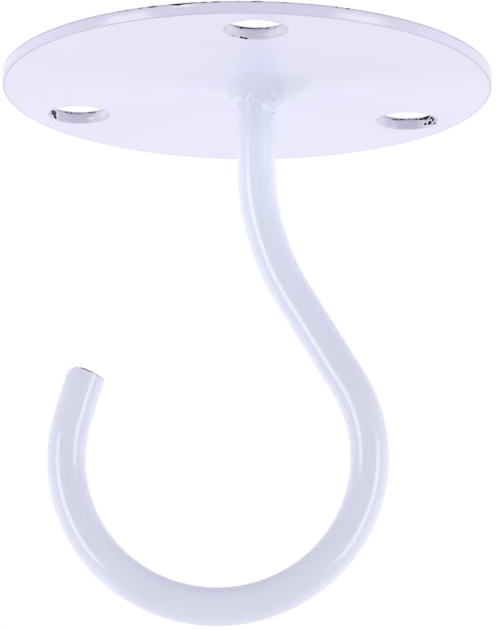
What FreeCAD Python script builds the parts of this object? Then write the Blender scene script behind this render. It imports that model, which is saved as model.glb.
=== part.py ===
import FreeCAD, Part
import math
import os
import Sketcher

# A ceiling hook: a flat round plate with three screw holes, and a round bar bent
# into an open loop, butt-welded to the underside of the plate and coated white.
# Millimetres. The origin is the middle of the plate's ceiling face, +Z goes up
# into the ceiling, and the hook hangs down -Z with all of its bends in the XZ
# plane. The loop's mouth opens towards -X. Sizes are measured over the coat.

# Driving dimensions: alias, value, what it measures
SIZES = [
    ("plate_diameter", 66.0, "disc that lies against the ceiling"),
    ("plate_thickness", 1.6, "sheet with its coat"),
    ("plate_edge_break", 0.3, "rim of the underside, broken at 45 degrees"),
    ("hole_diameter", 8.0, "screw holes, punched straight through"),
    ("hole_edge_break", 0.2, "edge of each hole on the underside, broken at 45 degrees"),
    ("hole_margin", 3.0, "steel left between each hole and the plate's rim"),
    ("hole_count", 3, "evenly spaced screw holes"),
    ("hole_turn", 4.0, "turn of the first hole from -Y, about +Z, in degrees"),
    ("rod_diameter", 5.1, "round bar with its coat"),
    ("stem_offset", 1.35, "from the plate's centre to the stem, along +X"),
    ("stem_length", 10.6, "straight bar below the plate"),
    ("neck_radius", 35.0, "first bend, on the bar's centre line"),
    ("neck_angle", 31.4, "turn of the first bend towards +X, in degrees"),
    ("shank_length", 13.7, "straight bar between the two bends"),
    ("loop_inside_diameter", 35.0, "post that the loop is bent round"),
    ("loop_angle", 225.0, "turn of the loop, back under the plate, in degrees"),
    ("tail_radius", 54.0, "easier bend of the last stretch, on the centre line"),
    ("tail_angle", 7.5, "turn of the last stretch, in degrees"),
    ("tip_roll", 1.2, "rounding that the shear leaves on the loop's outer side"),
    ("bead_height", 3.8, "weld bead's leg down the bar"),
    ("bead_reach", 5.1, "weld bead's leg along the plate"),
    ("bead_hollow_radius", 4.5, "hollow face between the two legs"),
    ("bead_toe", 0.35, "blunt height of the bead's edge on the plate"),
    ("bead_lip", 0.25, "blunt width of the bead's edge on the bar"),
]

PARTS_FOLDER = "parts"
TOLERANCE = 1e-6

document = FreeCAD.newDocument("ceiling_hook")


def make_sizes():
    """Put the driving dimensions in a spreadsheet, one row each, named by alias."""
    sheet = document.addObject("Spreadsheet::Sheet", "Sizes")
    sheet.set("A1", "Name")
    sheet.set("B1", "Value")
    sheet.set("C1", "Meaning")
    for row, (alias, value, meaning) in enumerate(SIZES, start=2):
        sheet.set(f"A{row}", alias)
        sheet.set(f"B{row}", str(value))
        sheet.set(f"C{row}", meaning)
        sheet.setAlias(f"B{row}", alias)
    document.recompute()
    return sheet


sizes = make_sizes()


def size(alias):
    """Value of a driving dimension, as a plain number."""
    return float(sizes.get(alias))


def origin_plane(body, role):
    """One of the body's own base planes."""
    return next(feature for feature in body.Origin.OriginFeatures if feature.Role == role)


def new_sketch(body, name, role):
    """A sketch on one of the body's own base planes."""
    sketch = body.newObject("Sketcher::SketchObject", name)
    sketch.AttachmentSupport = [(origin_plane(body, role), "")]
    sketch.MapMode = "FlatFace"
    return sketch


def constrain(sketch, name, expression, *constraint):
    """Add a dimension to a sketch and drive it from the sheet."""
    index = sketch.addConstraint(Sketcher.Constraint(*constraint))
    sketch.renameConstraint(index, name)
    sketch.setExpression(f"Constraints.{name}", expression)


def circular_edges(shape, height, radius):
    """Names of the full circles of one radius that lie level at one height."""
    found = []
    for number, edge in enumerate(shape.Edges, start=1):
        curve = edge.Curve
        if not isinstance(curve, Part.Circle) or abs(curve.Radius - radius) > TOLERANCE:
            continue
        if abs(abs(curve.Axis.z) - 1.0) < TOLERANCE and abs(curve.Center.z - height) < TOLERANCE:
            found.append(f"Edge{number}")
    return found


def require_less(after, before, what):
    """Stop if a cut has taken no material away."""
    if after.Shape.Volume > before - TOLERANCE:
        raise RuntimeError(f"{what} removed nothing")


def make_mounting_plate():
    """Blanked disc with straight screw holes, its edges sharp only on the ceiling side."""
    body = document.addObject("PartDesign::Body", "MountingPlate")
    body.Label = "mounting_plate"

    outline = new_sketch(body, "PlateOutline", "XY_Plane")
    centre = FreeCAD.Vector(0, 0, 0)
    up = FreeCAD.Vector(0, 0, 1)
    outline.addGeometry(Part.Circle(centre, up, size("plate_diameter") / 2))
    outline.addConstraint(Sketcher.Constraint("Coincident", 0, 3, -1, 1))
    constrain(outline, "disc", "Sizes.plate_diameter", "Diameter", 0, size("plate_diameter"))
    disc = body.newObject("PartDesign::Pad", "Disc")
    disc.Profile = outline
    disc.setExpression("Length", "Sizes.plate_thickness")
    disc.Reversed = True
    document.recompute()
    solid_volume = disc.Shape.Volume

    # The first hole stands at hole_turn from -Y, so it is drawn by its two offsets
    hole_sketch = new_sketch(body, "FirstHole", "XY_Plane")
    circle_radius = (size("plate_diameter") - size("hole_diameter")) / 2 - size("hole_margin")
    turn = math.radians(size("hole_turn"))
    hole_centre = FreeCAD.Vector(circle_radius * math.sin(turn), -circle_radius * math.cos(turn), 0)
    hole_sketch.addGeometry(Part.Circle(hole_centre, up, size("hole_diameter") / 2))
    hole_sketch.addGeometry(Part.LineSegment(centre, hole_centre), True)
    hole_sketch.addConstraint(Sketcher.Constraint("Coincident", 1, 1, -1, 1))
    hole_sketch.addConstraint(Sketcher.Constraint("Coincident", 1, 2, 0, 3))
    constrain(hole_sketch, "bore", "Sizes.hole_diameter", "Diameter", 0, size("hole_diameter"))
    constrain(hole_sketch, "arm", "(Sizes.plate_diameter - Sizes.hole_diameter) / 2 - Sizes.hole_margin",
              "Distance", 1, circle_radius)
    constrain(hole_sketch, "turn", "Sizes.hole_turn * 1 deg - 90 deg", "Angle", -1, 1, 1, 1,
              turn - math.pi / 2)
    first_hole = body.newObject("PartDesign::Pocket", "FirstHoleCut")
    first_hole.Profile = hole_sketch
    first_hole.Type = "ThroughAll"
    document.recompute()
    require_less(first_hole, solid_volume, "The first screw hole")
    one_hole_volume = first_hole.Shape.Volume

    holes = body.newObject("PartDesign::PolarPattern", "ScrewHoles")
    holes.Originals = [first_hole]
    holes.Axis = (hole_sketch, ["N_Axis"])
    holes.Angle = 360
    holes.setExpression("Occurrences", "Sizes.hole_count")
    body.Tip = holes
    document.recompute()
    if size("hole_count") > 1:
        require_less(holes, one_hole_volume, "The pattern of screw holes")

    underside = -size("plate_thickness")
    broken_rim = body.newObject("PartDesign::Chamfer", "BrokenRim")
    broken_rim.Base = (holes, circular_edges(holes.Shape, underside, size("plate_diameter") / 2))
    broken_rim.setExpression("Size", "Sizes.plate_edge_break")
    body.Tip = broken_rim
    document.recompute()

    broken_holes = body.newObject("PartDesign::Chamfer", "BrokenHoles")
    broken_holes.Base = (broken_rim, circular_edges(broken_rim.Shape, underside, size("hole_diameter") / 2))
    broken_holes.setExpression("Size", "Sizes.hole_edge_break")
    body.Tip = broken_holes
    document.recompute()
    return body


def bend_table():
    """The bar's runs and bends in order: name, length or radius, turn in degrees.

    A straight run has no turn. A turn is positive when it is anticlockwise with +X
    to the right and +Z up. The lengths and radii are those of the bar's centre line.
    """
    loop_radius = size("loop_inside_diameter") / 2 + size("rod_diameter") / 2
    return [
        ("stem", size("stem_length"), 0.0),
        ("neck", size("neck_radius"), size("neck_angle")),
        ("shank", size("shank_length"), 0.0),
        ("loop", loop_radius, -size("loop_angle")),
        ("tail", size("tail_radius"), -size("tail_angle")),
    ]


BEND_EXPRESSIONS = {
    "stem": "Sizes.stem_length",
    "neck": "Sizes.neck_radius",
    "shank": "Sizes.shank_length",
    "loop": "Sizes.loop_inside_diameter / 2 + Sizes.rod_diameter / 2",
    "tail": "Sizes.tail_radius",
}


def draw_centre_line(sketch):
    """Draw the bend table as tangent lines and arcs, each driven from the sheet."""
    point = FreeCAD.Vector(size("stem_offset"), -size("plate_thickness"), 0)
    heading = -math.pi / 2
    end = None
    for name, extent, turn in bend_table():
        if turn == 0.0:
            there = point + FreeCAD.Vector(math.cos(heading), math.sin(heading), 0) * extent
            index = sketch.addGeometry(Part.LineSegment(point, there))
            start_vertex, end_vertex = 1, 2
            constrain(sketch, name, BEND_EXPRESSIONS[name], "Distance", index, extent)
        else:
            side = math.copysign(1.0, turn)
            to_centre = FreeCAD.Vector(-math.sin(heading), math.cos(heading), 0) * (side * extent)
            centre = point + to_centre
            first = math.atan2(point.y - centre.y, point.x - centre.x)
            last = first + math.radians(turn)
            there = centre + FreeCAD.Vector(math.cos(last), math.sin(last), 0) * extent
            circle = Part.Circle(centre, FreeCAD.Vector(0, 0, 1), extent)
            arc = Part.ArcOfCircle(circle, min(first, last), max(first, last))
            index = sketch.addGeometry(arc)
            # An arc's own direction is anticlockwise, so a clockwise bend starts at its end
            start_vertex, end_vertex = (1, 2) if turn > 0 else (2, 1)
            constrain(sketch, name, BEND_EXPRESSIONS[name], "Radius", index, extent)
            constrain(sketch, f"{name}_turn", f"Sizes.{name}_angle * 1 deg", "Angle", index,
                      math.radians(abs(turn)))
            heading += math.radians(turn)
        if end is None:
            sketch.addConstraint(Sketcher.Constraint("Vertical", index))
            constrain(sketch, "offset", "Sizes.stem_offset", "DistanceX", -1, 1, index, start_vertex,
                      size("stem_offset"))
            constrain(sketch, "underside", "-Sizes.plate_thickness", "DistanceY", -1, 1, index,
                      start_vertex, -size("plate_thickness"))
        else:
            sketch.addConstraint(Sketcher.Constraint("Tangent", end[0], end[1], index, start_vertex))
        end = (index, end_vertex)
        point = there


def make_hook_rod():
    """Bar swept along the bend table, with its sheared end rolled over on the outer side."""
    body = document.addObject("PartDesign::Body", "HookRod")
    body.Label = "hook_rod"

    centre_line = new_sketch(body, "CentreLine", "XZ_Plane")
    draw_centre_line(centre_line)

    section = new_sketch(body, "BarSection", "XY_Plane")
    section.setExpression("AttachmentOffset.Base.z", "-Sizes.plate_thickness")
    centre = FreeCAD.Vector(size("stem_offset"), 0, 0)
    section.addGeometry(Part.Circle(centre, FreeCAD.Vector(0, 0, 1), size("rod_diameter") / 2))
    section.addConstraint(Sketcher.Constraint("PointOnObject", 0, 3, -1))
    constrain(section, "thickness", "Sizes.rod_diameter", "Diameter", 0, size("rod_diameter"))
    constrain(section, "offset", "Sizes.stem_offset", "DistanceX", -1, 1, 0, 3, size("stem_offset"))
    document.recompute()

    bar = body.newObject("PartDesign::AdditivePipe", "BentBar")
    bar.Profile = section
    bar.Spine = (centre_line, [f"Edge{number}" for number in range(1, len(bend_table()) + 1)])
    document.recompute()
    square_volume = bar.Shape.Volume

    rolled_end = body.newObject("PartDesign::Pocket", "RolledEnd")
    rolled_end.Profile = draw_rolled_corner(body, centre_line)
    rolled_end.Midplane = True
    rolled_end.setExpression("Length", "Sizes.rod_diameter * 2")
    body.Tip = rolled_end
    document.recompute()
    require_less(rolled_end, square_volume, "The rolled end")
    return body


def draw_rolled_corner(body, centre_line):
    """What the shear takes off the bar's outer corner, drawn in the plane of the bends.

    The sketch sits at the end of the centre line, with its X axis back along the bar
    and its Y axis towards the middle of the loop, so the outer side is at -Y.
    """
    sketch = body.newObject("Sketcher::SketchObject", "RolledCorner")
    last = len(bend_table())
    sketch.AttachmentSupport = [(centre_line, f"Edge{last}"), (centre_line, f"Vertex{last + 1}")]
    sketch.MapMode = "FrenetTN"
    radius = size("rod_diameter") / 2
    roll = size("tip_roll")
    clear = radius
    middle = FreeCAD.Vector(roll, roll - radius, 0)
    circle = Part.Circle(middle, FreeCAD.Vector(0, 0, 1), roll)
    corners = [
        FreeCAD.Vector(roll, -radius, 0),
        FreeCAD.Vector(roll, -radius - clear, 0),
        FreeCAD.Vector(-clear, -radius - clear, 0),
        FreeCAD.Vector(-clear, roll - radius, 0),
        FreeCAD.Vector(0, roll - radius, 0),
    ]
    sketch.addGeometry(Part.ArcOfCircle(circle, math.pi, math.pi * 3 / 2))
    for start, end in zip(corners, corners[1:]):
        sketch.addGeometry(Part.LineSegment(start, end))
    for side in range(4):
        sketch.addConstraint(Sketcher.Constraint("Coincident", side, 2, side + 1, 1))
    sketch.addConstraint(Sketcher.Constraint("Coincident", 4, 2, 0, 1))
    for side, direction in enumerate(("Vertical", "Horizontal", "Vertical", "Horizontal"), start=1):
        sketch.addConstraint(Sketcher.Constraint(direction, side))
    sketch.addConstraint(Sketcher.Constraint("PointOnObject", 0, 1, -2))
    sketch.addConstraint(Sketcher.Constraint("Horizontal", 0, 3, 0, 1))
    sketch.addConstraint(Sketcher.Constraint("Vertical", 0, 3, 0, 2))
    constrain(sketch, "roll", "Sizes.tip_roll", "Radius", 0, roll)
    constrain(sketch, "outer_side", "Sizes.rod_diameter / 2", "DistanceY", 0, 2, -1, 1, radius)
    constrain(sketch, "clear_outside", "Sizes.rod_diameter / 2", "DistanceY", 1, 2, 1, 1, clear)
    constrain(sketch, "clear_ahead", "Sizes.rod_diameter / 2", "DistanceX", 4, 1, 4, 2, clear)
    return sketch


def make_weld_bead():
    """Hollow fillet of weld round the bar, between the bar and the plate's underside."""
    body = document.addObject("PartDesign::Body", "WeldBead")
    body.Label = "weld_bead"

    bar_side = size("stem_offset") + size("rod_diameter") / 2
    top = -size("plate_thickness")
    toe = FreeCAD.Vector(bar_side + size("bead_reach"), top - size("bead_toe"), 0)
    lip = FreeCAD.Vector(bar_side + size("bead_lip"), top - size("bead_height"), 0)
    # The hollow's centre lies off the middle of the line from lip to toe, away from the corner
    chord = toe - lip
    sagitta_side = FreeCAD.Vector(chord.y, -chord.x, 0).normalize()
    to_centre = math.sqrt(size("bead_hollow_radius") ** 2 - (chord.Length / 2) ** 2)
    centre = lip + chord * 0.5 + sagitta_side * to_centre
    first = math.atan2(toe.y - centre.y, toe.x - centre.x)
    last = math.atan2(lip.y - centre.y, lip.x - centre.x) % (2 * math.pi)
    circle = Part.Circle(centre, FreeCAD.Vector(0, 0, 1), size("bead_hollow_radius"))

    profile = new_sketch(body, "BeadProfile", "XZ_Plane")
    profile.addGeometry(Part.ArcOfCircle(circle, first, last))
    corners = [
        lip,
        FreeCAD.Vector(bar_side, lip.y, 0),
        FreeCAD.Vector(bar_side, top, 0),
        FreeCAD.Vector(toe.x, top, 0),
        toe,
    ]
    for start, end in zip(corners, corners[1:]):
        profile.addGeometry(Part.LineSegment(start, end))
    for side in range(4):
        profile.addConstraint(Sketcher.Constraint("Coincident", side, 2, side + 1, 1))
    profile.addConstraint(Sketcher.Constraint("Coincident", 4, 2, 0, 1))
    for side, direction in enumerate(("Horizontal", "Vertical", "Horizontal", "Vertical"), start=1):
        profile.addConstraint(Sketcher.Constraint(direction, side))
    constrain(profile, "bar_side", "Sizes.stem_offset + Sizes.rod_diameter / 2", "DistanceX", -1, 1, 2, 1,
              bar_side)
    constrain(profile, "underside", "-Sizes.plate_thickness", "DistanceY", -1, 1, 3, 1, top)
    constrain(profile, "height", "Sizes.bead_height", "DistanceY", 2, 1, 2, 2, size("bead_height"))
    constrain(profile, "reach", "Sizes.bead_reach", "DistanceX", 3, 1, 3, 2, size("bead_reach"))
    constrain(profile, "toe", "Sizes.bead_toe", "DistanceY", 4, 2, 4, 1, size("bead_toe"))
    constrain(profile, "lip", "Sizes.bead_lip", "DistanceX", 1, 2, 1, 1, size("bead_lip"))
    constrain(profile, "hollow", "Sizes.bead_hollow_radius", "Radius", 0, size("bead_hollow_radius"))

    axis = new_sketch(body, "BarAxis", "XZ_Plane")
    axis.addGeometry(Part.LineSegment(FreeCAD.Vector(size("stem_offset"), 0, 0),
                                      FreeCAD.Vector(size("stem_offset"), top, 0)))
    axis.addConstraint(Sketcher.Constraint("Vertical", 0))
    axis.addConstraint(Sketcher.Constraint("PointOnObject", 0, 1, -1))
    constrain(axis, "offset", "Sizes.stem_offset", "DistanceX", -1, 1, 0, 1, size("stem_offset"))
    constrain(axis, "underside", "Sizes.plate_thickness", "Distance", 0, size("plate_thickness"))
    document.recompute()

    bead = body.newObject("PartDesign::Revolution", "Bead")
    bead.Profile = profile
    bead.ReferenceAxis = (axis, ["Edge1"])
    bead.Angle = 360
    body.Tip = bead
    document.recompute()
    return body


def check(nodes):
    """Stop if any object failed to compute, or if a piece isn't one valid solid."""
    document.recompute()
    for item in document.Objects:
        if "Invalid" in item.State or "Error" in item.State:
            raise RuntimeError(f"{item.Name} failed: {item.State}")
    for node in nodes:
        if node.Shape.isNull() or not node.Shape.isValid() or len(node.Shape.Solids) != 1:
            raise RuntimeError(f"{node.Label} isn't one valid solid")


def export(nodes):
    """Write each piece to a STEP file named for its label."""
    os.makedirs(PARTS_FOLDER, exist_ok=True)
    for node in nodes:
        node.Shape.exportStep(os.path.join(PARTS_FOLDER, f"{node.Label}.step"))
        box = node.Shape.BoundBox
        print(f"{node.Label}: {node.Shape.Volume:.1f} mm3, z {box.ZMin:.2f} to {box.ZMax:.2f}")


pieces = [make_mounting_plate(), make_hook_rod(), make_weld_bead()]
check(pieces)
export(pieces)
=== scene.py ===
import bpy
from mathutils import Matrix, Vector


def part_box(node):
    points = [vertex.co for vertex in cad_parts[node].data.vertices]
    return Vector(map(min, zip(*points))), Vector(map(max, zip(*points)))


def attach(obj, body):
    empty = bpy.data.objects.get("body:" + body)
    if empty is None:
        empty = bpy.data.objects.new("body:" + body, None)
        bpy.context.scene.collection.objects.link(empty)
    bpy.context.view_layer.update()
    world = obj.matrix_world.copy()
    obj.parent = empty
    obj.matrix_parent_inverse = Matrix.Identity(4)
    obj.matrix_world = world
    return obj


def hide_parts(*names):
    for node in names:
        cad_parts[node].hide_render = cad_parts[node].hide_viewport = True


bl_info = {
    "name": "Coated Ceiling Hook",
    "version": (1, 0, 0),
    "blender": (4, 5, 0),
    "location": "3D View > Sidebar > Ceiling Hook",
    "description": "Powder-coated steel ceiling hook: plate, bent bar and weld, with its studio",
    "category": "Add Mesh",
}

import math

import bpy
import numpy as np
from mathutils import Matrix, Vector

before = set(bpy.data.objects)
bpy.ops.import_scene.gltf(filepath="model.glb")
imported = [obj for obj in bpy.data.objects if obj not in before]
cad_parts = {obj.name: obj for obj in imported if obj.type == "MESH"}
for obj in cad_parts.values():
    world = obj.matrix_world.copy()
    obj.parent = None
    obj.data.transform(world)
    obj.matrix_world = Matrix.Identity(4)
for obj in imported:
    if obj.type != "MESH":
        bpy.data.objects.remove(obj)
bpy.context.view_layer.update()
PLATE_LOW, PLATE_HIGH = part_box("mounting_plate")
BAR_LOW, BAR_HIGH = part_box("hook_rod")
BEAD_LOW, BEAD_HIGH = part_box("weld_bead")

MM = 0.001
WHOLE_TURN = 2 * math.pi
QUARTER_TURN = math.pi / 2
WHITE = (1.0, 1.0, 1.0, 1.0)


def linear(code):
    """Colour of an sRGB hex code as linear red, green and blue."""
    channels = np.array([int(code[start:start + 2], 16) for start in (1, 3, 5)]) / 255
    return tuple(np.where(channels <= 0.04045, channels / 12.92, ((channels + 0.055) / 1.055) ** 2.4))


def length(name, description, default):
    """A size in metres, for a property group."""
    return bpy.props.FloatProperty(name=name, description=description, default=default,
                                   precision=5, unit="LENGTH")


def angle(name, description, degrees):
    """An angle, written in degrees, for a property group."""
    return bpy.props.FloatProperty(name=name, description=description, default=math.radians(degrees),
                                   subtype="ANGLE")


def colour(name, description, code):
    """A colour, written as an sRGB hex code, for a property group."""
    return bpy.props.FloatVectorProperty(name=name, description=description, default=linear(code),
                                         size=3, min=0.0, max=1.0, subtype="COLOR")


def number(name, description, default):
    """A plain number, for a property group."""
    return bpy.props.FloatProperty(name=name, description=description, default=default, precision=4)


class PlateSizes(bpy.types.PropertyGroup):
    """Sizes of the blanked and punched plate"""
    diameter: length("Diameter", "Disc against the ceiling", PLATE_HIGH.x - PLATE_LOW.x)
    thickness: length("Thickness", "Sheet with its coat", PLATE_HIGH.z - PLATE_LOW.z)
    rim_roll: length("Rim roll", "How far the blanking punch rolled the rim over, inwards", 0.22 * MM)
    rim_roll_depth: length("Rim roll depth", "How far up the rim the roll goes", 1.10 * MM)
    hole_roll: length("Hole roll", "Hole edge rolled over on the underside", 0.08 * MM)
    hole_roll_depth: length("Hole roll depth", "How far up the hole the roll goes", 0.16 * MM)
    burr: length("Burr", "Sharp edge on the ceiling side", 0.04 * MM)
    rim_bare: length("Rim bare", "Bare steel below the ceiling side's edge", 0.12 * MM)
    hole_bare: length("Hole bare", "Bare steel in the hole, below the ceiling side's edge", 0.20 * MM)
    hole_diameter: length("Hole diameter", "Screw holes", 8.0 * MM)
    hole_circle: length("Hole circle", "Diameter of the circle of hole centres", 52.0 * MM)
    hole_turn: angle("Hole turn", "First hole from -Y, about +Z", 4.0)


class BarSizes(bpy.types.PropertyGroup):
    """Bend table of the round bar"""
    thickness: length("Thickness", "Round bar with its coat", BAR_HIGH.y - BAR_LOW.y)
    stem_offset: length("Stem offset", "From the plate's centre to the stem", 1.35 * MM)
    stem_length: length("Stem length", "Straight bar below the plate", 10.6 * MM)
    neck_radius: length("Neck radius", "First bend, on the centre line", 35.0 * MM)
    neck_angle: angle("Neck angle", "Turn of the first bend", 31.4)
    shank_length: length("Shank length", "Straight bar between the two bends", 13.7 * MM)
    loop_inside: length("Loop inside", "Post that the loop is bent round", 35.0 * MM)
    loop_angle: angle("Loop angle", "Turn of the loop", 225.0)
    tail_radius: length("Tail radius", "Easier bend of the last stretch", 78.0 * MM)
    tail_angle: angle("Tail angle", "Turn of the last stretch", 5.2)
    tip_roll: length("Tip roll", "Rounding that the shear leaves on the outer side", 1.1 * MM)
    tip_arris: length("Tip arris", "Rounding of the rest of the sheared edge", 0.08 * MM)
    tip_dish: length("Tip dish", "Hollow of the sheared face", 0.10 * MM)
    tip_slope: length("Tip slope", "How much further the outer side reaches than the axis", 0.14 * MM)
    # The bluer tone of the coat on the stem and neck, and how it fades out past the neck
    tint_reach: length("Shade reach", "How far past the neck the shaded coat goes", 4.0 * MM)
    tint_fade: length("Shade fade", "Length over which the shaded coat fades out", 14.0 * MM)


class BeadSizes(bpy.types.PropertyGroup):
    """Sizes of the weld round the bar"""
    height: length("Height", "Leg down the bar", BEAD_HIGH.z - BEAD_LOW.z)
    reach: length("Reach", "Leg along the plate, at its shortest", 4.4 * MM)
    arm_reach: length("Arm reach", "How much further the weld was drawn out towards +X", 1.9 * MM)
    front_reach: length("Front reach", "How much further it ran towards -Y", 0.8 * MM)
    back_reach: length("Back reach", "How much further it ran towards -X and +Y", 0.9 * MM)
    waves: length("Waves", "Height of its slow waves", 0.10 * MM)
    lump_right: length("Lump right", "From the bar's axis to the lump's middle, along X", 5.0 * MM)
    lump_front: length("Lump front", "From the bar's axis to the lump's middle, along Y", -1.5 * MM)
    lump_half_width: length("Lump half width", "Half of the lump, away from the bar", 2.2 * MM)
    lump_half_length: length("Lump half length", "Half of the lump, along Y", 4.6 * MM)
    lump_height: length("Lump height", "How far the lump stands out", 0.60 * MM)


HOLE_COUNT = 3
SPATTER_COUNT = 46

# How many bare depths down a cut edge the bare steel has ended, and then the thin coat
BARE_END = 1.5
THIN_END = 2.5

# Marks on the walls of the screw holes: which hole, bearing from +X in degrees, depth below the
# ceiling face, half width and half height in millimetres, then how far the steel is bare and how
# strong the painted highlight round it is. A mark with no bare steel is only a painted highlight
HOLE_MARKS = (
    (0, 119, 1.50, 0.32, 0.13, 1, 0.8), (0, 110, 1.54, 0.34, 0.11, 1, 0.8),
    (0, 139, 1.58, 0.15, 0.10, 1, 0.8), (0, 119, 0.24, 0.26, 0.10, 0.9, 0.0),
    (0, 69, 0.20, 0.26, 0.12, 0.7, 0.0), (0, 51, 0.20, 0.24, 0.10, 0.5, 0.0),
    (0, 54, 0.95, 1.60, 0.42, 0, 0.6), (0, 142, 0.85, 1.30, 0.40, 0, 0.35),
    (1, 113, 0.30, 0.60, 0.09, 0.9, 0.0), (1, 100, 0.22, 0.50, 0.08, 1, 0.0),
    (1, 86, 0.18, 0.12, 0.09, 0.7, 0.0), (1, 79, 0.18, 0.12, 0.09, 0.7, 0.0),
    (1, 71, 0.24, 0.20, 0.10, 1, 0.0),
    (1, 61, 0.28, 0.36, 0.16, 1, 0.5), (1, 52, 0.26, 0.40, 0.22, 1, 0.6),
    (1, 44, 0.18, 0.46, 0.26, 1, 0.6), (1, 34, 0.52, 0.36, 0.17, 1, 0.5),
    (1, 27, 0.92, 0.32, 0.28, 1, 0.5), (1, 38, 1.14, 0.42, 0.27, 1, 0.9),
    (1, 51, 1.09, 0.26, 0.17, 1, 0.9), (1, 20, 1.60, 0.30, 0.24, 1, 0.6),
    (1, 47, 0.50, 0.26, 0.13, 0.8, 0.3), (1, 31, 1.52, 0.22, 0.12, 0.4, 0.9),
    (1, 58, 0.55, 0.38, 0.13, 0, 1.0), (1, 43, 0.82, 0.32, 0.19, 0, 1.0),
    (1, 50, 1.40, 0.32, 0.14, 0, 1.0), (1, 30, 1.40, 0.26, 0.14, 0, 1.0),
    (2, 119, 0.18, 0.26, 0.12, 0.65, 0.0), (2, 109, 0.24, 0.28, 0.14, 0.65, 0.2),
    (2, 96, 0.24, 0.60, 0.09, 0.4, 0.0), (2, 70, 0.17, 0.40, 0.09, 0.75, 0.0),
    (2, 62, 0.18, 0.36, 0.08, 0.75, 0.0),
    (2, 154, 0.76, 0.72, 0.40, 0.95, 0.9), (2, 148, 1.27, 0.36, 0.22, 1, 1.0),
    (2, 67, 0.96, 0.50, 0.17, 0, 1.0), (2, 40, 0.80, 1.20, 0.40, 0, 0.5),
)

# Marks along the rim's upper edge: bearing from +X, then as above
RIM_MARKS = (
    (-118.4, 0.04, 0.20, 0.10, 0.6, 0.0), (-116.6, 0.04, 0.25, 0.10, 0.8, 0.0),
    (-113.0, 0.04, 0.35, 0.10, 0.7, 0.0), (-110.2, 0.04, 0.75, 0.15, 1, 0.0),
    (-104.2, 0.04, 1.05, 0.22, 1, 0.0), (-101.2, 0.03, 0.85, 0.12, 0.9, 0.0),
    (-98.2, 0.03, 0.50, 0.11, 0.9, 0.0), (-95.4, 0.03, 0.50, 0.12, 1, 0.0),
    (-90.5, 0.03, 0.20, 0.08, 0.5, 0.0), (-86.8, 0.03, 0.28, 0.15, 1, 0.0),
    (-85.6, 0.03, 0.35, 0.11, 0.9, 0.0), (-80.3, 0.03, 0.60, 0.08, 0.5, 0.0),
    (-68.0, 0.04, 0.17, 0.13, 0.9, 0.0), (-65.2, 0.04, 0.22, 0.13, 0.9, 0.0),
    # A streak with no bare steel: a painted highlight on the rim's wall
    (-102.8, 0.40, 1.30, 0.13, 0, 1.0),
)


class CoatFinish(bpy.types.PropertyGroup):
    """Powder coat and the steel that shows where it is thin"""
    plate_colour: colour("Plate colour", "Coat on the sheet", "#E6E3FB")
    bar_colour: colour("Bar colour", "Coat on the bar", "#DEDFF2")
    # A bluer tone of the coat on the stem and neck
    bluer_colour: colour("Shaded colour", "Thinner coat on the stem and neck", "#DBE0EF")
    # Colour of the painted reflection of the bar, laid on the sheet in front of the weld
    painted_reflection_colour: colour("Patch colour", "Thinner coat on the sheet, in front of the weld", "#DBE6F9")
    weld_colour: colour("Weld colour", "Thin coat on the rough weld", "#DEE1F3")
    # Grey of a thin coat; on the sheet's cut edges, above all in the holes, it is partly painted shade
    thin_and_shade_colour: colour("Thin colour", "Coat so thin that the steel greys it", "#8C8F9C")
    # Colour of the painted highlights round chips and on marks with no bare steel
    painted_glint_colour: colour("Bruised colour", "Crazed coat round a chip", "#F4F6FF")
    steel_colour: colour("Steel colour", "Bare steel at chips and sharp edges", "#241F30")
    roughness: number("Roughness", "Semi-gloss powder coat", 0.15)
    weld_roughness: number("Weld roughness", "Thinner, duller coat on the rough weld", 0.22)
    back_roughness: number("Back roughness", "Thin, dry coat on the ceiling side", 0.60)
    steel_roughness: number("Steel roughness", "Dull bare steel", 0.45)
    peel_size: length("Peel size", "Distance between the waves of the orange peel", 1.3 * MM)
    peel_depth: length("Peel depth", "Height of the waves of the orange peel", 0.006 * MM)
    cloud_size: length("Cloud size", "Distance between thicker and thinner powder", 9.0 * MM)
    coat_step: length("Coat step", "How far bare steel lies below the coat", 0.05 * MM)
    # Strength, place and size of the painted reflection of the bar on the sheet
    painted_reflection_strength: number("Patch strength", "Share of the patch colour at the patch's middle", 0.35)
    painted_reflection_front: length("Patch front", "From the stem to the patch's middle, towards -Y", 9.0 * MM)
    painted_reflection_half_width: length("Patch half width", "Half of the patch, along X", 4.8 * MM)
    painted_reflection_half_length: length("Patch half length", "Half of the patch, along Y", 13.0 * MM)
    painted_reflection_half_depth: length("Patch half depth", "How far the patch goes up into the sheet", 1.0 * MM)


class StudioSettings(bpy.types.PropertyGroup):
    """Camera and light"""
    lens: number("Lens", "Focal length in millimetres on a 36 mm sensor", 296.86)
    pitch: angle("Pitch", "Camera looks up by this much", 14.889)
    yaw: angle("Yaw", "Camera's turn from straight along +Y", -1.682)
    roll: angle("Roll", "Camera's lean", 0.395)
    right: length("Right", "Plate's centre, right of the camera's axis", -0.179 * MM)
    down: length("Down", "Plate's centre, below the camera's axis", -31.918 * MM)
    ahead: length("Ahead", "Plate's centre, in front of the camera", 700.0 * MM)
    world_light: number("World light", "Strength of the even light from all round", 0.35)
    strip_light: number("Strip light", "Brightness of each upright strip light in front", 4.0)
    side_light: number("Side light", "Brightness of each soft light beside the hook", 1.7)
    low_light: number("Low light", "Brightness of the large soft light below", 1.06)
    front_light: number("Front light", "Brightness of the soft light behind the camera", 0.58)
    high_light: number("High light", "Brightness of the soft light above", 1.1)


SETTINGS = {
    "hook_plate": PlateSizes,
    "hook_bar": BarSizes,
    "hook_bead": BeadSizes,
    "hook_coat": CoatFinish,
    "hook_studio": StudioSettings,
}

# Where the lights look, in metres
STUDIO_CENTRE = (0.0, 0.0, -0.035)

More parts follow.
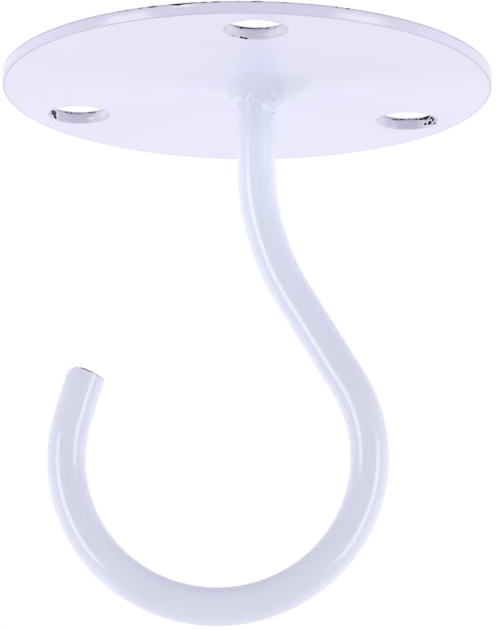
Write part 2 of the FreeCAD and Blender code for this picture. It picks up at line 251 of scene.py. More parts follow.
# Lights: name, its brightness in the settings, distance from the Z axis in metres, bearing from -Y
# towards +X in degrees, height above the ceiling face, width and height of the light in metres,
# and whether the coat mirrors it
LAMPS = (
    ("strip", "strip_light", 1.1, -54, -0.12, 0.44, 0.88, True),
    ("side_softbox", "side_light", 1.0, -100, -0.035, 0.8, 0.8, False),
    ("strip", "strip_light", 1.1, 54, -0.12, 0.44, 0.88, True),
    ("side_softbox", "side_light", 1.0, 100, -0.035, 0.8, 0.8, False),
    ("low_softbox", "low_light", 0.62, 180, -0.92, 3.0, 1.2, False),
    ("front_softbox", "front_light", 1.3, 0, -0.25, 0.9, 0.9, False),
    ("high_softbox", "high_light", 0.0, 0, 1.0, 1.0, 1.0, False),
)


def smooth(share):
    """Share held between 0 and 1 and eased at both ends."""
    held = np.clip(share, 0.0, 1.0)
    return held * held * (3 - 2 * held)


def nearness(turns, bearing, spread, power=2):
    """How near each turn is to a bearing: 1 there, and 1/e at a spread to either side.

    Bearing and spread are in degrees. A higher power holds it near 1 for longer.
    """
    away = np.abs((turns - math.radians(bearing) + math.pi) % WHOLE_TURN - math.pi)
    return np.exp(-(away / math.radians(spread)) ** power)


def ring_quads(rows, around, outward=True, joined=False):
    """Quads between closed rings of points, given row by row: four corner numbers each.

    Joined rings also have quads from the last ring to the first.
    """
    row = np.arange(rows if joined else rows - 1)[:, None]
    column = np.arange(around)[None, :]
    next_row = (row + 1) % rows
    next_column = (column + 1) % around
    corners = [row * around + column, next_row * around + column,
               next_row * around + next_column, row * around + next_column]
    if not outward:
        corners.reverse()
    return np.stack(corners, axis=-1).reshape(-1, 4)


def make_piece(name, points, faces, material, node, attributes):
    """Put a surface into a mesh object that rides on the part and stands for its CAD node.

    Each attribute is a number at every point, which the material reads by its name.
    """
    mesh = bpy.data.meshes.new(name)
    mesh.from_pydata(points.tolist(), [], faces)
    mesh.shade_smooth()
    for title, values in attributes.items():
        attribute = mesh.attributes.new(title, "FLOAT", "POINT")
        attribute.data.foreach_set("value", values.astype(np.float32))
    mesh.update()
    mesh.materials.append(material)
    piece = bpy.data.objects.new(name, mesh)
    bpy.context.scene.collection.objects.link(piece)
    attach(piece, "root")
    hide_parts(node)


def edge_section(thickness, burr, roll, roll_depth, bare_depth):
    """Section of a cut edge of the sheet, from the ceiling face round to the underside.

    A quarter circle of radius burr at the top and a quarter ellipse of half axes roll and
    roll_depth at the bottom, joined by the straight cut. Returns how far each point lies outside
    the cut, which is 0 on the cut and negative inside the sheet, and its height.
    """
    turn = np.linspace(0.0, QUARTER_TURN, 12)
    # Rings on the flat faces keep the shading of the edge off them
    flat = np.array([0.12, 0.30]) * MM
    cut_depths = np.array([1.0, BARE_END, THIN_END]) * bare_depth
    outset = np.concatenate([
        [-burr - flat[1]], burr * (np.sin(turn) - 1), np.zeros(cut_depths.size),
        roll * (np.cos(turn) - 1), -roll - flat])
    height = np.concatenate([
        [0.0], burr * (np.cos(turn) - 1), -cut_depths,
        -thickness + roll_depth * (1 - np.sin(turn)), [-thickness, -thickness]])
    return outset, height


def edge_wall(centre, radius, side, turns, section):
    """Section carried round a circle: radius plus side times outset, at each turn and height."""
    outset, height = section
    reach = radius + side * outset[:, None]
    x = centre[0] + reach * np.cos(turns)[None, :]
    y = centre[1] + reach * np.sin(turns)[None, :]
    z = np.broadcast_to(height[:, None], x.shape)
    return np.stack([x, y, z], axis=-1)


def coat_on_edge(section, bare_depth):
    """How bare and how grey each point of an edge's section is, from 0 to 1.

    Steel is bare down to bare_depth. The coat is thin there and greys the cut, less so further down;
    this grey is partly painted shade, most of all on the hole walls. The third share is a narrow grey
    band where the cut meets the underside.
    """
    thin_and_shade_at_top = 0.55
    thin_and_shade_on_cut = 0.17
    # A grey band along the arris where the cut meets the underside
    arris_grey = [0.2, 0.4, 0.5, 0.5, 0.2]
    # Further in than this lie the flat faces and the last of the roll
    cut_skin = 0.12 * MM
    outset, height = section
    depth = -height
    cut = outset > -cut_skin
    bare = np.interp(depth, [bare_depth, BARE_END * bare_depth], [1.0, 0.0]) * cut
    thin = np.interp(depth, [bare_depth, THIN_END * bare_depth], [thin_and_shade_at_top, thin_and_shade_on_cut]) * cut
    arris = np.zeros(depth.size)
    arris[-6:-1] = arris_grey
    return bare, thin, arris


def plate_surface(sizes):
    """Disc with three holes: swept walls, joined by flat faces in three sectors.

    Each sector is bounded by two lines from the centre through neighbouring holes, by half of
    each hole's edge, and by the arc of the rim between them.
    """
    rim_steps = 360
    hole_steps = 144
    first = sizes.hole_turn - QUARTER_TURN
    hole_turns = first + np.arange(HOLE_COUNT) * WHOLE_TURN / HOLE_COUNT
    rim_turns = first + np.arange(rim_steps) * WHOLE_TURN / rim_steps
    rim_section = edge_section(sizes.thickness, sizes.burr, sizes.rim_roll, sizes.rim_roll_depth,
                               sizes.rim_bare)
    hole_section = edge_section(sizes.thickness, sizes.burr, sizes.hole_roll, sizes.hole_roll_depth,
                                sizes.hole_bare)
    rim = edge_wall((0.0, 0.0), sizes.diameter / 2, 1, rim_turns, rim_section)
    # The coat is thinnest on the burr where the blank was sheared first, towards -Y
    usual_strength = 0.16
    more_strength = 0.39
    rim_strength = usual_strength + more_strength * nearness(rim_turns, bearing=-95, spread=34)
    rim_bare, rim_thin, rim_arris = coat_on_edge(rim_section, sizes.rim_bare)
    # The hole towards -Y has the barest edge, and each hole's edge is barest towards +Y
    hole_strengths = (0.88, 0.34, 0.40)
    least_thin = 0.3
    hole_bare, hole_thin, hole_arris = coat_on_edge(hole_section, sizes.hole_bare)
    points = [rim.reshape(-1, 3)]
    back = [(np.arange(rim.shape[0]) == 0).repeat(rim_steps)]
    bare = [(rim_bare[:, None] * rim_strength[None, :]).ravel()]
    thin = [np.maximum(rim_thin, rim_arris).repeat(rim_steps)]
    faces = ring_quads(rim.shape[0], rim_steps).tolist()
    starts = []
    total = rim.shape[0] * rim_steps
    for turn, hole_strength in zip(hole_turns, hole_strengths):
        centre = np.array([math.cos(turn), math.sin(turn)]) * sizes.hole_circle / 2
        turns = turn + np.arange(hole_steps) * WHOLE_TURN / hole_steps
        wall = edge_wall(centre, sizes.hole_diameter / 2, -1, turns, hole_section)
        points.append(wall.reshape(-1, 3))
        back.append((np.arange(wall.shape[0]) == 0).repeat(hole_steps))
        fade = nearness(turns, bearing=100, spread=42, power=6)
        bare.append((hole_bare[:, None] * (hole_strength * fade)[None, :]).ravel())
        # Painted shade: the grey is strongest on the wall at each hole's +Y side, which faces -Y
        wall_thin_and_shade = hole_thin[:, None] * (least_thin + (1 - least_thin) * fade)[None, :]
        thin.append(np.maximum(wall_thin_and_shade, hole_arris[:, None]).ravel())
        faces += (ring_quads(wall.shape[0], hole_steps, outward=False) + total).tolist()
        starts.append(total)
        total += wall.shape[0] * hole_steps
    # Both flat faces have a point at the plate's centre, the ceiling side's first
    points.append(np.array([[0.0, 0.0, 0.0], [0.0, 0.0, -sizes.thickness]]))
    back.append(np.array([True, False]))
    bare.append(np.zeros(2))
    thin.append(np.zeros(2))
    rim_last = (rim.shape[0] - 1) * rim_steps
    hole_last = (hole_section[0].size - 1) * hole_steps
    half = hole_steps // 2
    span = rim_steps // HOLE_COUNT
    for face, rim_start, hole_start in ((0, 0, 0), (1, rim_last, hole_last)):
        for sector in range(HOLE_COUNT):
            near = starts[sector] + hole_start
            far = starts[(sector + 1) % HOLE_COUNT] + hole_start
            arc = range(sector * span, (sector + 1) * span + 1)
            outline = [total + face]
            outline += [near + step for step in range(half, -1, -1)]
            outline += [rim_start + step % rim_steps for step in arc]
            outline += [far] + [far + step for step in range(hole_steps - 1, half - 1, -1)]
            if face == 1:
                outline.reverse()
            faces.append(outline)
    shares = {"bare": np.concatenate(bare), "thin": np.concatenate(thin), "back": np.concatenate(back)}
    return np.concatenate(points), faces, shares


def bar_line(distance, sizes, drop):
    """Centre line of the bar at any distances along it: X, Z, heading, and the line's length.

    Straight runs and circular bends follow each other with no kink, so the heading is the sum of
    the turns so far, and each run's own point is its start plus the line or arc of that heading.
    """
    loop_radius = (sizes.loop_inside + sizes.thickness) / 2
    runs = [
        (sizes.stem_length, 0.0),
        (sizes.neck_radius * sizes.neck_angle, 1 / sizes.neck_radius),
        (sizes.shank_length, 0.0),
        (loop_radius * sizes.loop_angle, -1 / loop_radius),
        (sizes.tail_radius * sizes.tail_angle, -1 / sizes.tail_radius),
    ]
    x = np.full(distance.shape, sizes.stem_offset)
    z = np.full(distance.shape, -drop)
    heading = np.full(distance.shape, -QUARTER_TURN)
    start = 0.0
    for run, curvature in runs:
        travelled = np.clip(distance - start, 0.0, run)
        turned = heading + curvature * travelled
        if curvature:
            x = x + (np.sin(turned) - np.sin(heading)) / curvature
            z = z - (np.cos(turned) - np.cos(heading)) / curvature
        else:
            x = x + np.cos(heading) * travelled
            z = z + np.sin(heading) * travelled
        heading = turned
        start += run
    return x, z, heading, start


def bar_surface(sizes, drop):
    """Tube round the bend table, with its sheared end rolled over on the loop's outer side.

    A point is the centre line at a distance plus the bar's radius times the direction of its turn
    round the bar. Near the end the rings lean back by the rounding at that turn, less the slope
    of the shear. Then a quarter circle of that rounding leads to the sloping face, which is
    slightly dished to its pole.
    """
    around = 96
    ring_gap = 0.3 * MM
    lean_length = 4 * MM
    lean_rings = 24
    radius = sizes.thickness / 2
    total = bar_line(np.zeros(1), sizes, drop)[3]
    turns = np.arange(around) * WHOLE_TURN / around
    # Turn 0 is the inner side of the loop's bend and a half turn is the outer side
    roll_start = 0.45
    outer = smooth((-np.cos(turns) - roll_start) / (1 - roll_start))
    rounding = sizes.tip_arris + (sizes.tip_roll - sizes.tip_arris) * outer
    along = np.concatenate([np.arange(0.0, total - lean_length, ring_gap),
                            np.linspace(total - lean_length, total, lean_rings)])
    lean = np.clip((along - total + lean_length) / lean_length, 0.0, 1.0)
    quarter = np.linspace(0.0, QUARTER_TURN, 9)[1:]
    inward = np.linspace(1.0, 0.0, 7)[1:-1]
    slope = -sizes.tip_slope * np.cos(turns)[None, :]
    distance = np.concatenate([
        along[:, None] - lean[:, None] * (rounding[None, :] - slope),
        total + slope - rounding[None, :] * (1 - np.sin(quarter))[:, None],
        total + slope * inward[:, None] - sizes.tip_dish * (1 - inward[:, None] ** 2),
    ])
    reach = np.concatenate([
        np.full((along.size, around), radius),
        radius - rounding[None, :] * (1 - np.cos(quarter))[:, None],
        (radius - rounding[None, :]) * inward[:, None],
    ])
    x, z, heading, _ = bar_line(distance, sizes, drop)
    # The side vector points to the right of the heading, which is the loop's inner side
    across = reach * np.cos(turns)[None, :]
    points = np.stack([x + across * np.sin(heading), reach * np.sin(turns)[None, :],
                       z - across * np.cos(heading)], axis=-1)
    rows = points.shape[0]
    end_x, end_z, _, _ = bar_line(np.array([total - sizes.tip_dish]), sizes, drop)
    poles = np.array([[sizes.stem_offset, 0.0, -drop], [end_x[0], 0.0, end_z[0]]])
    column = np.arange(around)
    next_column = (column + 1) % around
    start_pole = np.full(around, rows * around)
    last_row = (rows - 1) * around
    faces = ring_quads(rows, around, outward=False).tolist()
    faces += np.stack([start_pole, next_column, column], axis=-1).tolist()
    faces += np.stack([start_pole + 1, last_row + column, last_row + next_column], axis=-1).tolist()
    # The sheared edge is bare in the middle of the front side, and thin round to the inner side
    inner_thin = 0.6
    edge_rows = np.zeros((rows, 1))
    edge_rows[along.size - 1:along.size + quarter.size] = 1.0
    bare = edge_rows * nearness(turns, bearing=-86, spread=27, power=4)
    thin = edge_rows * inner_thin * nearness(turns, bearing=-52, spread=42, power=4)
    # The coat on the stem and the neck has a bluer tone, which fades out past the neck
    tint_end = sizes.stem_length + sizes.neck_radius * sizes.neck_angle + sizes.tint_reach
    bluer = smooth((tint_end - distance) / sizes.tint_fade)
    # Each share goes on with its value at the start's pole and at the end's
    shares = {"bare": np.append(bare, [0.0, 0.0]), "thin": np.append(thin, [0.0, 0.0]),
              "bluer": np.append(bluer, [1.0, 0.0])}
    return np.concatenate([points.reshape(-1, 3), poles]), faces, shares


def bead_surface(sizes, bar, drop):
    """Closed ring of weld: a hollow section between bar and plate, carried round the bar.

    The hollow is a quarter of an ellipse whose half axes are the two legs, so it runs out along
    the bar and along the plate. Both legs change with the turn round the bar. Pushed out along
    the ellipse's normal are slow waves, a broad lump where the weld ended, and small round beads
    of spatter near the bar. At both ends the skin dips just under bar and plate.
    """
    around = 360
    across = 64
    dip = 0.006 * MM
    buried = 0.02 * MM
    radius = bar.thickness / 2
    turn = (np.arange(around) * WHOLE_TURN / around)[None, :]
    share = np.linspace(0.0, QUARTER_TURN, across)[:, None]
    lean = np.sin(share)

    # The leg along the plate is longer on three sides, and has three and seven waves to a turn
    drawn_out = nearness(turn, bearing=-5, spread=60)
    run_down = nearness(turn, bearing=-80, spread=40)
    run_back = nearness(turn, bearing=160, spread=50)
    reach = (sizes.reach + sizes.arm_reach * drawn_out + sizes.front_reach * run_down
             + sizes.back_reach * run_back)
    reach = reach + sizes.waves * (np.sin(3 * turn + 0.7) + 0.7 * np.sin(7 * turn))
    # The leg down the bar is longest on one side, and ripples a little
    longest = math.radians(-60)
    middle, swing, ripple = 0.66, 0.32, 0.02
    height = sizes.height * (middle + swing * np.cos(turn - longest) + ripple * np.sin(5 * turn))
    out = radius + reach * (1 - np.cos(share))
    down = height * (1 - lean)

    # The normal leans from straight out beside the bar to straight down at the toe
    normal_out = height * np.cos(share)
    normal_down = reach * lean
    steepness = np.hypot(normal_out, normal_down)
    normal_out = normal_out / steepness
    normal_down = normal_down / steepness
    x = out * np.cos(turn)
    y = out * np.sin(turn)

    swell = sizes.waves * 0.5 * (np.sin(9 * turn + 4 * share) + np.sin(5 * turn - 6 * share + 1.0))
    swell = swell * np.sin(2 * share)
    # The lump is a rounded oblong, full height inside lump_top and gone at lump_foot
    lump_top, lump_foot = 0.6, 1.3
    gap = ((np.abs(x - sizes.lump_right) / sizes.lump_half_width) ** 4
           + (np.abs(y - sizes.lump_front) / sizes.lump_half_length) ** 4) ** 0.25
    lump = smooth((lump_foot - gap) / (lump_foot - lump_top))
    toe = lean ** 10
    swell = swell + sizes.lump_height * lump * (1 - toe)
    # Beads of spatter: limits of their spread in mm and of their place along the section, their
    # rise in spreads, and how much of the skin under them they add to
    smallest, largest = 0.16, 0.38
    nearest, furthest = 0.10, 0.75
    rise, carried = 0.75, 0.5
    draw = np.random.default_rng(5)
    for bead in range(SPATTER_COUNT):
        bead_turn = draw.uniform(-math.pi, math.pi)
        bead_share = draw.uniform(nearest, furthest)
        spread = draw.uniform(smallest, largest) * MM
        column = int(bead_turn / WHOLE_TURN * around) % around
        row = int(bead_share / QUARTER_TURN * across)
        away = (x - x[row, column]) ** 2 + (y - y[row, column]) ** 2 + (down - down[row, column]) ** 2
        crown = carried * swell[row, column] + rise * spread
        swell = np.maximum(swell, crown * np.exp(-away / (2 * spread ** 2)))
    lip = (1 - lean) ** 6
    out = out + swell * normal_out - dip * lip
    down = down + swell * normal_down - dip * toe

    # Two more rings lead on under the bar's and the plate's skin, and one closes the ring inside
    lip_overlap = 0.3 * MM
    toe_overlap = 0.4 * MM
    under_bar = np.full((1, around), radius - buried)
    under_plate = np.full((1, around), -buried)
    out = np.concatenate([under_bar, under_bar, out, out[-1:] + toe_overlap])
    down = np.concatenate([under_plate, down[:1] + lip_overlap, down, under_plate])
    points = np.stack([bar.stem_offset + out * np.cos(turn), out * np.sin(turn), -drop - down], axis=-1)
    faces = ring_quads(points.shape[0], around, outward=False, joined=True).tolist()
    # The thin coat of the weld runs into the bar's bluer coat at the lip and the sheet's at the toe.
    # The sheet's comes in furthest towards -X, and hardly at all on the lump and where it ran down
    lip_width = 0.5
    toe_start = 0.85 + 0.45 * np.cos(turn)
    toe_end = 1.5
    held_back = 0.8
    lip_share = np.clip(1 - share / lip_width, 0.0, 1.0) * np.ones((1, around))
    toe_share = np.clip((share - toe_start) / (toe_end - toe_start), 0.0, 1.0)
    toe_share = toe_share * (1 - lump) * (1 - held_back * run_down)
    shares = {}
    for title, values in (("lip", lip_share), ("toe", toe_share)):
        shares[title] = np.concatenate([values[:1], values[:1], values, values[-1:]]).ravel()
    return points.reshape(-1, 3), faces, shares


def add_node(tree, kind, settings=None, inputs=None):
    """Add one node, set its own settings, and set or link its inputs."""
    node = tree.nodes.new(kind)
    for name, value in (settings or {}).items():
        setattr(node, name, value)
    for socket, value in (inputs or {}).items():
        if isinstance(value, bpy.types.NodeSocket):
            tree.links.new(value, node.inputs[socket])
        else:
            node.inputs[socket].default_value = value
    return node


def depth_in_oval(tree, place, centre, half_sizes):
    """Socket that is 0 at the centre of an oval body and 1 on its skin.

    It is the length of the offset from the centre, divided along each axis by the half size.
    """
    offset = add_node(tree, "ShaderNodeVectorMath", {"operation": "SUBTRACT"}, {0: place, 1: centre})
    share = add_node(tree, "ShaderNodeVectorMath", {"operation": "DIVIDE"}, {
        0: offset.outputs["Vector"], 1: half_sizes})
    gap = add_node(tree, "ShaderNodeVectorMath", {"operation": "LENGTH"}, {0: share.outputs["Vector"]})
    return gap.outputs["Value"]


def powder_coat(name, coat_colour, coat, roughness, marks=(), neighbours=(), painted_reflection_oval=None):
    """Semi-gloss white powder coat, sprayed on steel and baked.

    The eye sees an even, faintly violet white with a soft, slightly wavy shine: the powder melts
    to low waves called orange peel. On sheared edges it draws back and dark steel shows, and a few
    chips show the same steel.
    """
    eased = {"interpolation_type": "SMOOTHSTEP"}
    scaled_sum = {"operation": "MULTIPLY_ADD"}
    product = {"operation": "MULTIPLY"}
    larger = {"operation": "MAXIMUM"}
    material = bpy.data.materials.new(name)
    material.use_nodes = True
    tree = material.node_tree
    tree.nodes.clear()
    place = add_node(tree, "ShaderNodeTexCoord").outputs["Object"]

    # Powder lies thicker and thinner over a few millimetres, which shifts tone and shine a little
    thinnest, dullest, shiniest = 0.972, 1.15, 0.85
    cloud = add_node(tree, "ShaderNodeTexNoise", inputs={
        "Vector": place, "Scale": 1 / coat.cloud_size, "Detail": 3.0, "Roughness": 0.55})
    cloud_range = {"Value": cloud.outputs["Fac"], "From Min": 0.3, "From Max": 0.7}
    tone = add_node(tree, "ShaderNodeMapRange", inputs={**cloud_range, "To Min": 0.0, "To Max": 1.0})
    gloss = add_node(tree, "ShaderNodeMapRange", inputs={
        **cloud_range, "To Min": roughness * dullest, "To Max": roughness * shiniest})
    # The side against the ceiling gets little powder, which lies dry and dull
    back = add_node(tree, "ShaderNodeAttribute", {"attribute_name": "back"}).outputs["Fac"]
    gloss = add_node(tree, "ShaderNodeMath", scaled_sum, {
        0: back, 1: coat.back_roughness - roughness, 2: gloss.outputs["Result"]})

    # Fine grit makes edges and chips ragged, and a coarser noise leaves some of an edge coated
    grit_size, grit_weight = 0.35 * MM, 0.7
    run_size, run_weight = 2.6 * MM, 1.6
    bare_start, bare_full = 1.70, 2.05
    edge_start, edge_full = 0.05, 0.3
    grit = add_node(tree, "ShaderNodeTexNoise", inputs={
        "Vector": place, "Scale": 1 / grit_size, "Detail": 2.0, "Roughness": 0.6}).outputs["Fac"]
    run = add_node(tree, "ShaderNodeTexNoise", inputs={
        "Vector": place, "Scale": 1 / run_size, "Detail": 1.0})
    edge = add_node(tree, "ShaderNodeAttribute", {"attribute_name": "bare"}).outputs["Fac"]
    level = add_node(tree, "ShaderNodeMath", scaled_sum, {0: run.outputs["Fac"], 1: run_weight, 2: edge})
    level = add_node(tree, "ShaderNodeMath", scaled_sum, {
        0: grit, 1: grit_weight, 2: level.outputs["Value"]})
    worn = add_node(tree, "ShaderNodeMapRange", eased, {
        "Value": level.outputs["Value"], "From Min": bare_start, "From Max": bare_full})
    on_edge = add_node(tree, "ShaderNodeMapRange", inputs={
        "Value": edge, "From Min": edge_start, "From Max": edge_full})
    bare = add_node(tree, "ShaderNodeMath", product, {
        0: worn.outputs["Result"], 1: on_edge.outputs["Result"]}).outputs["Value"]

    # Inside each mark the steel is bare, and round it lies a painted highlight. Depths are 0 at a mark's
    # middle and 1 on its skin, and the grit adds about 0.6 to them
    grit_reach = 1.2
    chip_full, chip_end = 1.45, 1.75
    painted_glint = 0.0
    for centre, half_sizes, steel, white in marks:
        ragged = add_node(tree, "ShaderNodeMath", scaled_sum, {
            0: grit, 1: grit_reach, 2: depth_in_oval(tree, place, centre, half_sizes)}).outputs["Value"]
        chip = add_node(tree, "ShaderNodeMapRange", eased, {
            "Value": ragged, "From Min": chip_full, "From Max": chip_end,
            "To Min": steel, "To Max": 0.0})
        bare = add_node(tree, "ShaderNodeMath", larger, {
            0: bare, 1: chip.outputs["Result"]}).outputs["Value"]
        # A ring of painted highlight round the mark, as strong as white says
        glint_full = 1.1 + 0.9 * steel
        glint_end = 2.3 + 0.2 * steel
        glint_ring = add_node(tree, "ShaderNodeMapRange", eased, {
            "Value": ragged, "From Min": glint_full, "From Max": glint_end,
            "To Min": white, "To Max": 0.0})
        painted_glint = add_node(tree, "ShaderNodeMath", larger, {
            0: painted_glint, 1: glint_ring.outputs["Result"]}).outputs["Value"]
    # A chip at an edge fades out within a third of a millimetre on the ceiling side
    front = add_node(tree, "ShaderNodeMath", {"operation": "SUBTRACT"}, {0: 1.0, 1: back})
    bare = add_node(tree, "ShaderNodeMath", product, {
        0: bare, 1: front.outputs["Value"]}).outputs["Value"]

    # Colours laid over the thinnest tone, each as far as its own share says
    layers = [(tone.outputs["Result"], coat_colour)]
    # Other coats that it runs into, such as the bluer one of the stem, each with its own share
    for title, neighbour in neighbours:
        share = add_node(tree, "ShaderNodeAttribute", {"attribute_name": title})
        layers.append((share.outputs["Fac"], neighbour))
    # Painted reflection of the bar: a bluish patch on the sheet in front of the weld
    if painted_reflection_oval:
        reflection_full, reflection_end = 0.45, 1.0
        share = add_node(tree, "ShaderNodeMapRange", eased, {
            "Value": depth_in_oval(tree, place, *painted_reflection_oval),
            "From Min": reflection_full, "From Max": reflection_end,
            "To Min": coat.painted_reflection_strength, "To Max": 0.0})
        layers.append((share.outputs["Result"], coat.painted_reflection_colour))
    # Where the coat is thin, the steel greys it; on the sheet's cut edges this grey is partly painted
    # shade
    thin = add_node(tree, "ShaderNodeAttribute", {"attribute_name": "thin"})
    layers.append((thin.outputs["Fac"], coat.thin_and_shade_colour))
    # Painted highlights round chips and on marks with no bare steel are near white
    if marks:
        layers.append((painted_glint, coat.painted_glint_colour))
    tinted = (*(channel * thinnest for channel in coat_colour), 1.0)
    for share, layer_colour in layers:
        # On this node sockets 0, 6 and 7 are the share and the two colours, and 2 is the result
        tinted = add_node(tree, "ShaderNodeMix", {"data_type": "RGBA"}, {
            0: share, 6: tinted, 7: (*layer_colour, 1.0)}).outputs[2]

    # Orange peel: low waves about peel_size apart, with finer ones at half of that
    peel = add_node(tree, "ShaderNodeTexNoise", inputs={
        "Vector": place, "Scale": 1 / coat.peel_size, "Detail": 1.5, "Roughness": 0.45})
    peel_height = add_node(tree, "ShaderNodeMath", product, {0: peel.outputs["Fac"], 1: coat.peel_depth})
    # The coat ends in a small step at bare steel, so its lip catches light
    height = add_node(tree, "ShaderNodeMath", scaled_sum, {
        0: bare, 1: -coat.coat_step, 2: peel_height.outputs["Value"]})
    bump = add_node(tree, "ShaderNodeBump", inputs={
        "Height": height.outputs["Value"], "Strength": 1.0, "Distance": 1.0})
    coat_shader = add_node(tree, "ShaderNodeBsdfPrincipled", inputs={
        "Base Color": tinted, "Roughness": gloss.outputs["Value"],
        "IOR": 1.5, "Normal": bump.outputs["Normal"]})
    steel_shader = add_node(tree, "ShaderNodeBsdfPrincipled", inputs={
        "Base Color": (*coat.steel_colour, 1.0), "Metallic": 1.0, "Roughness": coat.steel_roughness,
        "Normal": bump.outputs["Normal"]})
    mixed = add_node(tree, "ShaderNodeMixShader", inputs={
        0: bare, 1: coat_shader.outputs["BSDF"], 2: steel_shader.outputs["BSDF"]})
    add_node(tree, "ShaderNodeOutputMaterial", inputs={"Surface": mixed.outputs["Shader"]})
    return material


class HOOK_OT_plate(bpy.types.Operator):
    """Make the round plate, with its swept edges and screw holes"""
    bl_idname = "hook.plate"
    bl_label = "Mounting plate"

    def execute(self, context):
        sizes = context.scene.hook_plate
        coat = context.scene.hook_coat
        marks = []
        for hole, *mark in HOLE_MARKS:
            turn = sizes.hole_turn - QUARTER_TURN + hole * WHOLE_TURN / HOLE_COUNT
            centre = (math.cos(turn) * sizes.hole_circle / 2, math.sin(turn) * sizes.hole_circle / 2)
            marks.append(self.mark_on_wall(centre, sizes.hole_diameter / 2, *mark))
        for mark in RIM_MARKS:
            marks.append(self.mark_on_wall((0.0, 0.0), sizes.diameter / 2, *mark))
        # The painted reflection of the bar lies on the sheet in front of the weld
        painted_reflection_centre = (context.scene.hook_bar.stem_offset, -coat.painted_reflection_front, -sizes.thickness)
        painted_reflection_half_sizes = (coat.painted_reflection_half_width, coat.painted_reflection_half_length, coat.painted_reflection_half_depth)
        material = powder_coat("powder_coated_sheet_steel", coat.plate_colour, coat, coat.roughness,
                               marks=marks, painted_reflection_oval=(painted_reflection_centre, painted_reflection_half_sizes))
        points, faces, shares = plate_surface(sizes)
        make_piece("plate_shell", points, faces, material, "mounting_plate", shares)
        return {"FINISHED"}

    def mark_on_wall(self, centre, radius, bearing, depth, half_width, half_height, steel, white):
        """Place of a mark on a round wall, its half sizes, and its shares of bare steel and painted
        highlight.
        """
        bearing = math.radians(bearing)
        place = (centre[0] + radius * math.cos(bearing), centre[1] + radius * math.sin(bearing),
                 -depth * MM)
        return place, (half_width * MM, half_width * MM, half_height * MM), steel, white


class HOOK_OT_bar(bpy.types.Operator):
    """Make the bent bar, from the weld to its sheared end"""
    bl_idname = "hook.bar"
    bl_label = "Bent bar"

    def execute(self, context):
        scene = context.scene
        coat = scene.hook_coat
        material = powder_coat("powder_coated_round_bar", coat.bar_colour, coat, coat.roughness,
                               neighbours=(("bluer", coat.bluer_colour),))
        points, faces, shares = bar_surface(scene.hook_bar, scene.hook_plate.thickness)
        make_piece("hook_bar", points, faces, material, "hook_rod", shares)
        return {"FINISHED"}


class HOOK_OT_bead(bpy.types.Operator):
    """Make the uneven weld between the bar and the plate"""
    bl_idname = "hook.bead"
    bl_label = "Weld bead"

    def execute(self, context):
        scene = context.scene
        coat = scene.hook_coat
        material = powder_coat("powder_coated_weld", coat.weld_colour, coat, coat.weld_roughness,
                               neighbours=(("lip", coat.bluer_colour), ("toe", coat.plate_colour)))
        points, faces, shares = bead_surface(scene.hook_bead, scene.hook_bar, scene.hook_plate.thickness)
        make_piece("weld_skin", points, faces, material, "weld_bead", shares)
        return {"FINISHED"}


def add_lamp(name, place, width, height, brightness, reflected):
    """Soft rectangular light that faces the hook; its power gives it this brightness.

    A light that isn't reflected only fills the shade, so the coat's shine shows plain white there.
    """
    lamp = bpy.data.lights.new(name, "AREA")
    lamp.shape = "RECTANGLE"
    lamp.size = width
    lamp.size_y = height
    lamp.energy = brightness * math.pi * width * height
    holder = bpy.data.objects.new(name, lamp)
    holder.location = place
    holder.rotation_euler = (Vector(STUDIO_CENTRE) - Vector(place)).to_track_quat("-Z", "Y").to_euler()
    holder.visible_camera = False
    holder.visible_glossy = reflected
    bpy.context.scene.collection.objects.link(holder)


def white_to_the_eye(tree, lit, white_kind, output_kind):
    """Show plain white to the camera and in reflections, and a lit surface to all other rays."""
    larger = {"operation": "MAXIMUM"}
    rays = add_node(tree, "ShaderNodeLightPath").outputs
    seen = add_node(tree, "ShaderNodeMath", larger, {0: rays["Is Camera Ray"], 1: rays["Is Glossy Ray"]})
    seen = add_node(tree, "ShaderNodeMath", larger, {
        0: seen.outputs["Value"], 1: rays["Is Transmission Ray"]})
    white = add_node(tree, white_kind, inputs={"Color": WHITE, "Strength": 1.0})
    mixed = add_node(tree, "ShaderNodeMixShader", inputs={
        0: seen.outputs["Value"], 1: lit, 2: white.outputs[0]})
    add_node(tree, output_kind, inputs={"Surface": mixed.outputs["Shader"]})


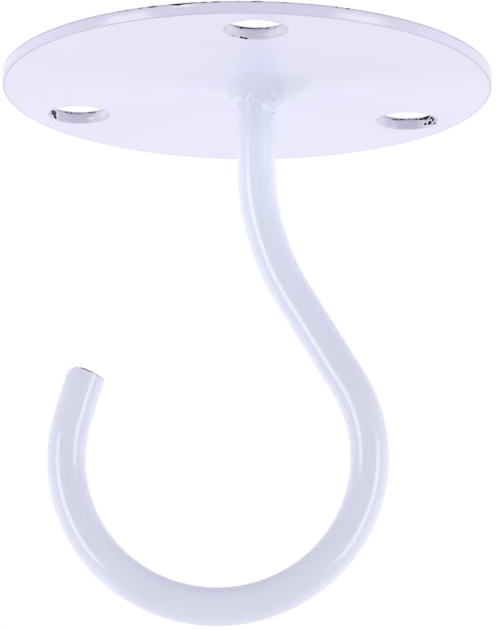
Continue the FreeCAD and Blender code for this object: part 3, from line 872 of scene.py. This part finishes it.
class HOOK_OT_studio(bpy.types.Operator):
    """Set the camera, the lights, the pale floor far below and the white background"""
    bl_idname = "hook.studio"
    bl_label = "Studio"

    def execute(self, context):
        scene = context.scene
        studio = scene.hook_studio
        scene.view_settings.view_transform = "Standard"
        self.set_camera(scene, studio)
        for name, setting, distance, bearing, lamp_height, width, height, reflected in LAMPS:
            bearing = math.radians(bearing)
            place = (distance * math.sin(bearing), -distance * math.cos(bearing), lamp_height)
            add_lamp(name, place, width, height, getattr(studio, setting), reflected)
        self.set_world(scene, studio)
        self.set_floor(scene)
        return {"FINISHED"}

    def set_camera(self, scene, studio):
        """Turn the camera about Z, pitch it up, then roll it, and back it off from the plate."""
        yaw = np.array([[math.cos(studio.yaw), -math.sin(studio.yaw), 0],
                        [math.sin(studio.yaw), math.cos(studio.yaw), 0], [0, 0, 1]])
        level = np.array([[1, 0, 0], [0, 0, -1], [0, 1, 0]])
        pitch = np.array([[1, 0, 0], [0, math.cos(studio.pitch), math.sin(studio.pitch)],
                          [0, -math.sin(studio.pitch), math.cos(studio.pitch)]])
        roll = np.array([[math.cos(studio.roll), -math.sin(studio.roll), 0],
                         [math.sin(studio.roll), math.cos(studio.roll), 0], [0, 0, 1]])
        right, down, ahead = roll @ pitch @ level @ yaw
        offset = right * studio.right + down * studio.down + ahead * studio.ahead
        data = bpy.data.cameras.new("camera")
        data.sensor_width = 36.0
        data.lens = studio.lens
        data.clip_start = 0.01
        data.clip_end = 20.0
        camera = bpy.data.objects.new("camera", data)
        columns = np.stack([right, -down, -ahead], axis=1)
        camera.matrix_world = Matrix.Translation(Vector(-offset)) @ Matrix(columns.tolist()).to_4x4()
        scene.collection.objects.link(camera)
        scene.camera = camera

    def set_world(self, scene, studio):
        """Even light from all round, seen as plain white."""
        world = bpy.data.worlds.new("white_world")
        world.use_nodes = True
        tree = world.node_tree
        tree.nodes.clear()
        light = add_node(tree, "ShaderNodeBackground", inputs={
            "Color": WHITE, "Strength": studio.world_light})
        white_to_the_eye(tree, light.outputs["Background"], "ShaderNodeBackground",
                         "ShaderNodeOutputWorld")
        scene.world = world

    def set_floor(self, scene):
        """A wide pale floor, 1.35 m below the plate."""
        half = 6.0
        floor_height = -1.35
        mesh = bpy.data.meshes.new("floor")
        mesh.from_pydata([(-half, -half, floor_height), (half, -half, floor_height),
                          (half, half, floor_height), (-half, half, floor_height)], [], [(0, 1, 2, 3)])
        material = bpy.data.materials.new("matt_white_floor")
        material.use_nodes = True
        tree = material.node_tree
        tree.nodes.clear()
        lit = add_node(tree, "ShaderNodeBsdfDiffuse", inputs={"Color": (*linear("#F2F2F2"), 1.0)})
        white_to_the_eye(tree, lit.outputs["BSDF"], "ShaderNodeEmission", "ShaderNodeOutputMaterial")
        mesh.materials.append(material)
        floor = bpy.data.objects.new("floor", mesh)
        scene.collection.objects.link(floor)


OPERATORS = (HOOK_OT_plate, HOOK_OT_bar, HOOK_OT_bead, HOOK_OT_studio)


class HOOK_PT_panel(bpy.types.Panel):
    """Sizes, finish and makers of the ceiling hook"""
    bl_idname = "HOOK_PT_panel"
    bl_label = "Ceiling Hook"
    bl_space_type = "VIEW_3D"
    bl_region_type = "UI"
    bl_category = "Ceiling Hook"

    def draw(self, context):
        for operator in OPERATORS:
            self.layout.operator(operator.bl_idname)
        for name, group in SETTINGS.items():
            box = self.layout.box()
            box.label(text=group.__doc__)
            for field in group.__annotations__:
                box.prop(getattr(context.scene, name), field)


def register():
    for group in SETTINGS.values():
        bpy.utils.register_class(group)
    for operator in OPERATORS:
        bpy.utils.register_class(operator)
    bpy.utils.register_class(HOOK_PT_panel)
    for name, group in SETTINGS.items():
        setattr(bpy.types.Scene, name, bpy.props.PointerProperty(type=group))


def unregister():
    for name in SETTINGS:
        delattr(bpy.types.Scene, name)
    for group in (HOOK_PT_panel, *reversed(OPERATORS), *reversed(list(SETTINGS.values()))):
        bpy.utils.unregister_class(group)


def main():
    register()
    bpy.ops.hook.plate()
    bpy.ops.hook.bar()
    bpy.ops.hook.bead()
    bpy.ops.hook.studio()


if __name__ == "__main__":
    main()
